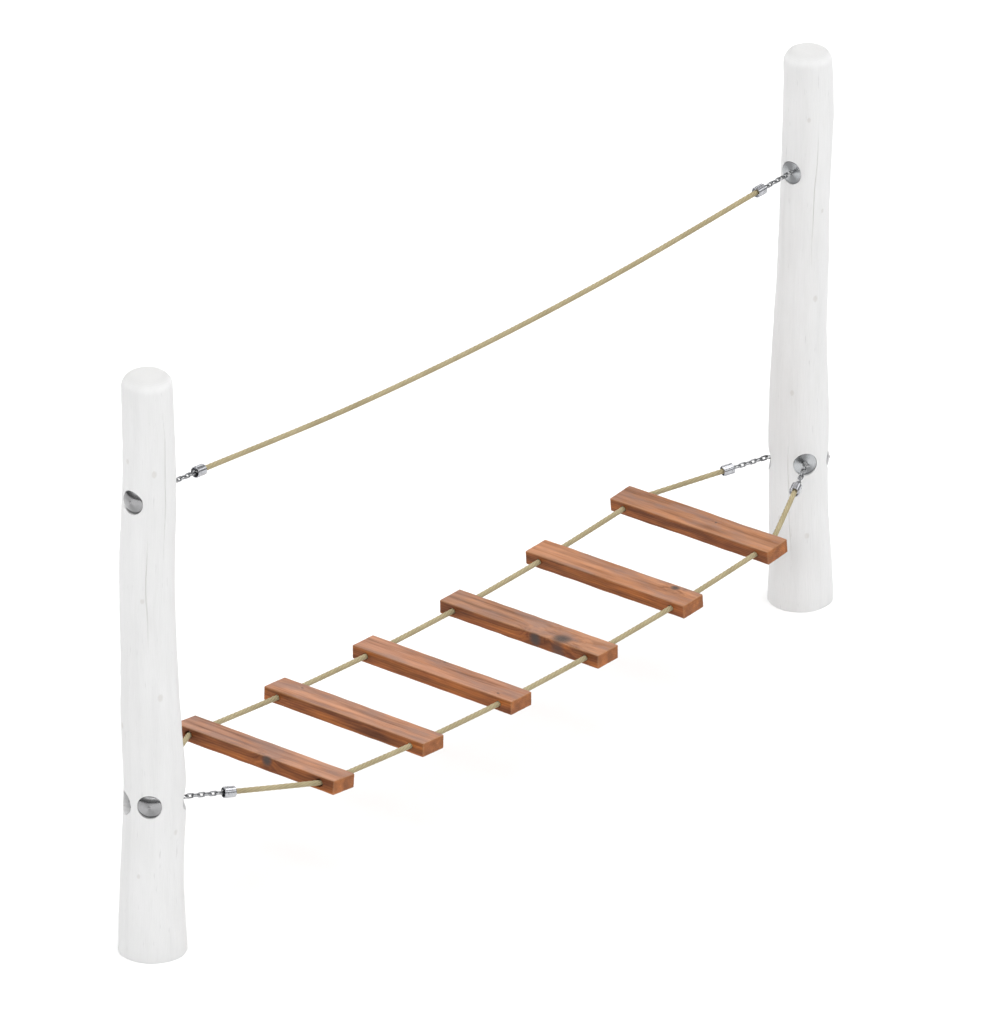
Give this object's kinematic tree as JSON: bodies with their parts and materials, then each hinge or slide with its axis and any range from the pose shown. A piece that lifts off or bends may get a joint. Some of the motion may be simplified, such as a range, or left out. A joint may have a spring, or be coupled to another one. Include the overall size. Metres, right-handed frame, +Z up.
{
  "type": "rope step bridge",
  "caption": "Rope step bridge: timber planks on two ropes, hung on short chains between two round log posts, with a slack hand rope above.",
  "frame": {"origin": "on the ground midway between the two posts, at the bottom centre of the bounding box", "axes": "+X from the left post to the right post along the walk, +Y to the back of the bridge, +Z up"},
  "size_m": [3.187, 0.6, 1.8],
  "materials": {
    "log_wood": "debarked log, pale whitewashed matt finish with faint upright grain",
    "plank_wood": "oiled red-brown hardwood, sawn, with eased edges and dark knots",
    "rope_fibre": "beige laid polyamide rope, matt",
    "sleeve_metal": "satin turned sleeve",
    "chain_steel": "galvanised short-link chain",
    "plate_steel": "polished stainless plates and caps",
    "bolt_steel": "plain stainless bolts, nuts and pins"
  },
  "bodies": {
    "root": {"left_back_bolt_cap": "plate_steel", "left_back_eye_plate": "plate_steel", "left_back_eyebolt": "bolt_steel", "left_front_bolt_cap": "plate_steel", "left_front_eye_plate": "plate_steel", "left_front_eyebolt": "bolt_steel", "left_hand_bolt_cap": "plate_steel", "left_hand_eye_plate": "plate_steel", "left_hand_eyebolt": "bolt_steel", "left_nuts": "bolt_steel", "left_post": "log_wood", "right_back_bolt_cap": "plate_steel", "right_back_eye_plate": "plate_steel", "right_back_eyebolt": "bolt_steel", "right_front_bolt_cap": "plate_steel", "right_front_eye_plate": "plate_steel", "right_front_eyebolt": "bolt_steel", "right_hand_bolt_cap": "plate_steel", "right_hand_eye_plate": "plate_steel", "right_hand_eyebolt": "bolt_steel", "right_nuts": "bolt_steel", "right_post": "log_wood"},
    "deck": {"back_deck_rope": "rope_fibre", "front_deck_rope": "rope_fibre", "plank_1": "plank_wood", "plank_2": "plank_wood", "plank_3": "plank_wood", "plank_4": "plank_wood", "plank_5": "plank_wood", "plank_6": "plank_wood", "rope_lock_screws": "bolt_steel", "left_back_sleeve": "sleeve_metal", "left_back_cross_pin": "bolt_steel", "left_front_sleeve": "sleeve_metal", "left_front_cross_pin": "bolt_steel", "right_back_sleeve": "sleeve_metal", "right_back_cross_pin": "bolt_steel", "right_front_sleeve": "sleeve_metal", "right_front_cross_pin": "bolt_steel"},
    "hand_line": {"hand_rope": "rope_fibre", "left_hand_sleeve": "sleeve_metal", "left_hand_cross_pin": "bolt_steel", "left_hand_chain": "chain_steel", "right_hand_sleeve": "sleeve_metal", "right_hand_cross_pin": "bolt_steel", "right_hand_chain": "chain_steel"},
    "left_back_chain_body": {"left_back_chain": "chain_steel"},
    "left_front_chain_body": {"left_front_chain": "chain_steel"},
    "right_back_chain_body": {"right_back_chain": "chain_steel"},
    "right_front_chain_body": {"right_front_chain": "chain_steel"}
  },
  "joints": [
    {"name": "deck_sway", "type": "hinge", "parent": "root", "child": "deck", "pos_m": [0, -0.0071, 0.5004], "axis": [1, 0, 0], "range_deg": [-5, 5]},
    {"name": "left_back_chain_swing", "type": "hinge", "parent": "root", "child": "left_back_chain_body", "pos_m": [-1.39951, 0.04784, 0.48948], "axis": [-0.9517, 0.3012, -0.0598], "range_deg": [-6.8, 6.8]},
    {"name": "left_front_chain_swing", "type": "hinge", "parent": "root", "child": "left_front_chain_body", "pos_m": [-1.42032, -0.07452, 0.47784], "axis": [0.9211, 0.3692, 0.1235], "range_deg": [-7.1, 7.1]},
    {"name": "right_back_chain_swing", "type": "hinge", "parent": "root", "child": "right_back_chain_body", "pos_m": [1.42318, 0.07978, 0.46955], "axis": [0.8846, 0.4394, -0.1561], "range_deg": [-7.7, 7.7]},
    {"name": "right_front_chain_swing", "type": "hinge", "parent": "root", "child": "right_front_chain_body", "pos_m": [1.42202, -0.0725, 0.48476], "axis": [-0.9279, 0.3625, 0.0867], "range_deg": [-7, 7]},
    {"name": "hand_line_swing", "type": "hinge", "parent": "root", "child": "hand_line", "pos_m": [-1.40297, -0.003, 1.42748], "axis": [1, 0, -0.0016], "range_deg": [-25, 25]}
  ],
  "couplings": [
    {"joint": "left_back_chain_swing", "follows": "deck_sway", "ratio": -1.2944},
    {"joint": "left_front_chain_swing", "follows": "deck_sway", "ratio": 1.3572},
    {"joint": "right_back_chain_swing", "follows": "deck_sway", "ratio": 1.4812},
    {"joint": "right_front_chain_swing", "follows": "deck_sway", "ratio": -1.3361}
  ]
}
